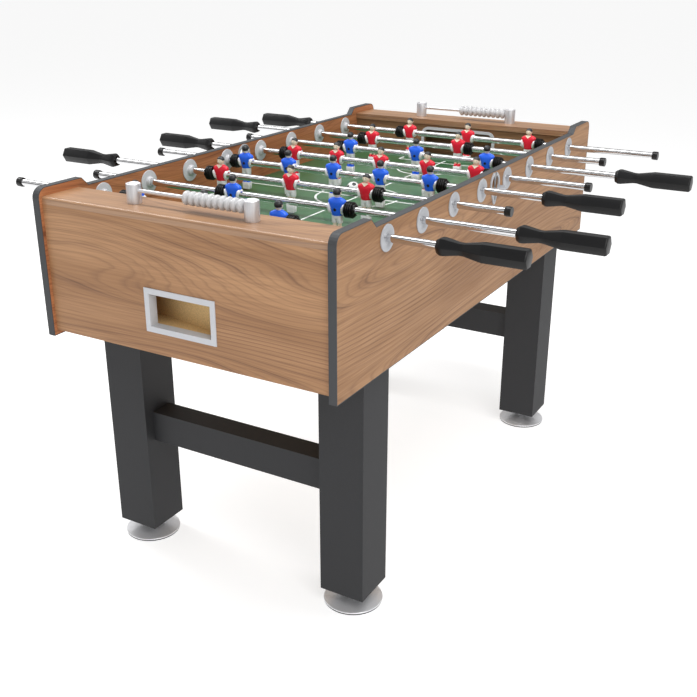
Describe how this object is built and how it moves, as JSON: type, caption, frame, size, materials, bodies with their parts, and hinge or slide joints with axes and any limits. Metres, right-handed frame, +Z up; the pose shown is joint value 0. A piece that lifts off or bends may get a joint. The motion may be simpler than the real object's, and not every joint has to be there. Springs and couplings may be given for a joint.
{
  "type": "foosball table",
  "caption": "Foosball table with woodgrain cabinet, sliding and spinning player rods, ball returns, bead scorers and levelling feet on square legs.",
  "frame": {"origin": "on the floor, under the middle of the table", "axes": "+X across the table along the rods, to the side of the blue team's handles; +Y along the table, away from the blue goal; +Z up"},
  "size_m": [1.499, 1.417, 0.904],
  "materials": {
    "side_laminate": "satin woodgrain laminate",
    "end_laminate": "satin woodgrain laminate",
    "top_laminate": "satin woodgrain laminate",
    "inner_laminate": "satin woodgrain laminate",
    "edge_banding": "matt",
    "playfield_green": "printed board, satin",
    "bottom_board": "raw board",
    "goal_frame_silver": "silver",
    "raw_board": "raw fibreboard",
    "bezel_silver": "silver",
    "leg_charcoal": "matt charcoal laminate",
    "bolt_steel": "plain",
    "bearing_grey": "satin",
    "scorer_metal": "satin",
    "bead_grey": "satin",
    "ball_white": "gloss",
    "foot_metal": "satin",
    "rod_chrome": "polished",
    "men_blue": "satin",
    "men_red": "satin",
    "grip_black": "satin",
    "bumper_rubber": "satin"
  },
  "bodies": {
    "cabinet": {"side_panel_left": "side_laminate", "side_panel_right": "side_laminate", "edge_banding": "edge_banding", "end_panel_front": "end_laminate", "end_panel_rear": "end_laminate", "end_top_boards": "top_laminate", "goal_walls": "inner_laminate", "playfield": "playfield_green", "bottom_panel": "bottom_board", "goal_frames": "goal_frame_silver", "ball_return_boxes": "raw_board", "ball_return_bezels": "bezel_silver", "legs": "leg_charcoal", "leg_bolts": "bolt_steel", "stretchers": "leg_charcoal", "rod_bearings_outer": "bearing_grey", "rod_bearings_inner": "bearing_grey", "bearing_screws": "bolt_steel", "ball_entry_cups": "bearing_grey", "scorer_posts": "scorer_metal", "scorer_bars": "scorer_metal"},
    "rod_1_slider": {"bumpers_1": "bumper_rubber"},
    "rod_1_spinner": {"rod_1": "rod_chrome", "men_1": "men_blue", "handle_and_cap_1": "grip_black"},
    "rod_2_slider": {"bumpers_2": "bumper_rubber"},
    "rod_2_spinner": {"rod_2": "rod_chrome", "men_2": "men_blue", "handle_and_cap_2": "grip_black"},
    "rod_3_slider": {"bumpers_3": "bumper_rubber"},
    "rod_3_spinner": {"rod_3": "rod_chrome", "men_3": "men_red", "handle_and_cap_3": "grip_black"},
    "rod_4_slider": {"bumpers_4": "bumper_rubber"},
    "rod_4_spinner": {"rod_4": "rod_chrome", "men_4": "men_blue", "handle_and_cap_4": "grip_black"},
    "rod_5_slider": {"bumpers_5": "bumper_rubber"},
    "rod_5_spinner": {"rod_5": "rod_chrome", "men_5": "men_red", "handle_and_cap_5": "grip_black"},
    "rod_6_slider": {"bumpers_6": "bumper_rubber"},
    "rod_6_spinner": {"rod_6": "rod_chrome", "men_6": "men_blue", "handle_and_cap_6": "grip_black"},
    "rod_7_slider": {"bumpers_7": "bumper_rubber"},
    "rod_7_spinner": {"rod_7": "rod_chrome", "men_7": "men_red", "handle_and_cap_7": "grip_black"},
    "rod_8_slider": {"bumpers_8": "bumper_rubber"},
    "rod_8_spinner": {"rod_8": "rod_chrome", "men_8": "men_red", "handle_and_cap_8": "grip_black"},
    "scorer_beads_front": {"scorer_beads_front": "bead_grey"},
    "scorer_beads_rear": {"scorer_beads_rear": "bead_grey"},
    "foot_1": {"foot_1": "foot_metal"},
    "foot_2": {"foot_2": "foot_metal"},
    "foot_3": {"foot_3": "foot_metal"},
    "foot_4": {"foot_4": "foot_metal"},
    "ball": {"ball": "ball_white"}
  },
  "joints": [
    {"name": "rod_1_slide", "type": "slide", "parent": "cabinet", "child": "rod_1_slider", "axis": [1, 0, 0], "range_m": [-0.0405, 0.1675]},
    {"name": "rod_1_spin", "type": "hinge", "parent": "rod_1_slider", "child": "rod_1_spinner", "pos_m": [-0.0635, -0.525, 0.8335], "axis": [1, 0, 0], "continuous": true},
    {"name": "rod_2_slide", "type": "slide", "parent": "cabinet", "child": "rod_2_slider", "axis": [1, 0, 0], "range_m": [-0.1865, 0.1235]},
    {"name": "rod_2_spin", "type": "hinge", "parent": "rod_2_slider", "child": "rod_2_spinner", "pos_m": [0.0315, -0.375, 0.8335], "axis": [1, 0, 0], "continuous": true},
    {"name": "rod_3_slide", "type": "slide", "parent": "cabinet", "child": "rod_3_slider", "axis": [1, 0, 0], "range_m": [-0.041, 0.138]},
    {"name": "rod_3_spin", "type": "hinge", "parent": "rod_3_slider", "child": "rod_3_spinner", "pos_m": [-0.0485, -0.225, 0.8335], "axis": [1, 0, 0], "continuous": true},
    {"name": "rod_4_slide", "type": "slide", "parent": "cabinet", "child": "rod_4_slider", "axis": [1, 0, 0], "range_m": [-0.006, 0.055]},
    {"name": "rod_4_spin", "type": "hinge", "parent": "rod_4_slider", "child": "rod_4_spinner", "pos_m": [-0.0245, -0.075, 0.8335], "axis": [1, 0, 0], "continuous": true},
    {"name": "rod_5_slide", "type": "slide", "parent": "cabinet", "child": "rod_5_slider", "axis": [1, 0, 0], "range_m": [-0.055, 0.006]},
    {"name": "rod_5_spin", "type": "hinge", "parent": "rod_5_slider", "child": "rod_5_spinner", "pos_m": [0.0245, 0.075, 0.8335], "axis": [1, 0, 0], "continuous": true},
    {"name": "rod_6_slide", "type": "slide", "parent": "cabinet", "child": "rod_6_slider", "axis": [1, 0, 0], "range_m": [-0.138, 0.041]},
    {"name": "rod_6_spin", "type": "hinge", "parent": "rod_6_slider", "child": "rod_6_spinner", "pos_m": [0.0485, 0.225, 0.8335], "axis": [1, 0, 0], "continuous": true},
    {"name": "rod_7_slide", "type": "slide", "parent": "cabinet", "child": "rod_7_slider", "axis": [1, 0, 0], "range_m": [-0.1235, 0.1865]},
    {"name": "rod_7_spin", "type": "hinge", "parent": "rod_7_slider", "child": "rod_7_spinner", "pos_m": [-0.0315, 0.375, 0.8335], "axis": [1, 0, 0], "continuous": true},
    {"name": "rod_8_slide", "type": "slide", "parent": "cabinet", "child": "rod_8_slider", "axis": [1, 0, 0], "range_m": [-0.1675, 0.0405]},
    {"name": "rod_8_spin", "type": "hinge", "parent": "rod_8_slider", "child": "rod_8_spinner", "pos_m": [0.0635, 0.525, 0.8335], "axis": [1, 0, 0], "continuous": true},
    {"name": "scorer_beads_front_slide", "type": "slide", "parent": "cabinet", "child": "scorer_beads_front", "axis": [1, 0, 0], "range_m": [-0.1113, 0]},
    {"name": "scorer_beads_rear_slide", "type": "slide", "parent": "cabinet", "child": "scorer_beads_rear", "axis": [1, 0, 0], "range_m": [-0.1113, 0]},
    {"name": "foot_1_level", "type": "slide", "parent": "cabinet", "child": "foot_1", "axis": [0, 0, -1], "range_m": [0, 0.015]},
    {"name": "foot_2_level", "type": "slide", "parent": "cabinet", "child": "foot_2", "axis": [0, 0, -1], "range_m": [0, 0.015]},
    {"name": "foot_3_level", "type": "slide", "parent": "cabinet", "child": "foot_3", "axis": [0, 0, -1], "range_m": [0, 0.015]},
    {"name": "foot_4_level", "type": "slide", "parent": "cabinet", "child": "foot_4", "axis": [0, 0, -1], "range_m": [0, 0.015]},
    {"name": "ball_roll", "type": "slide", "parent": "cabinet", "child": "ball", "axis": [1, 0, 0], "range_m": [-0.3, 0.33]}
  ]
}
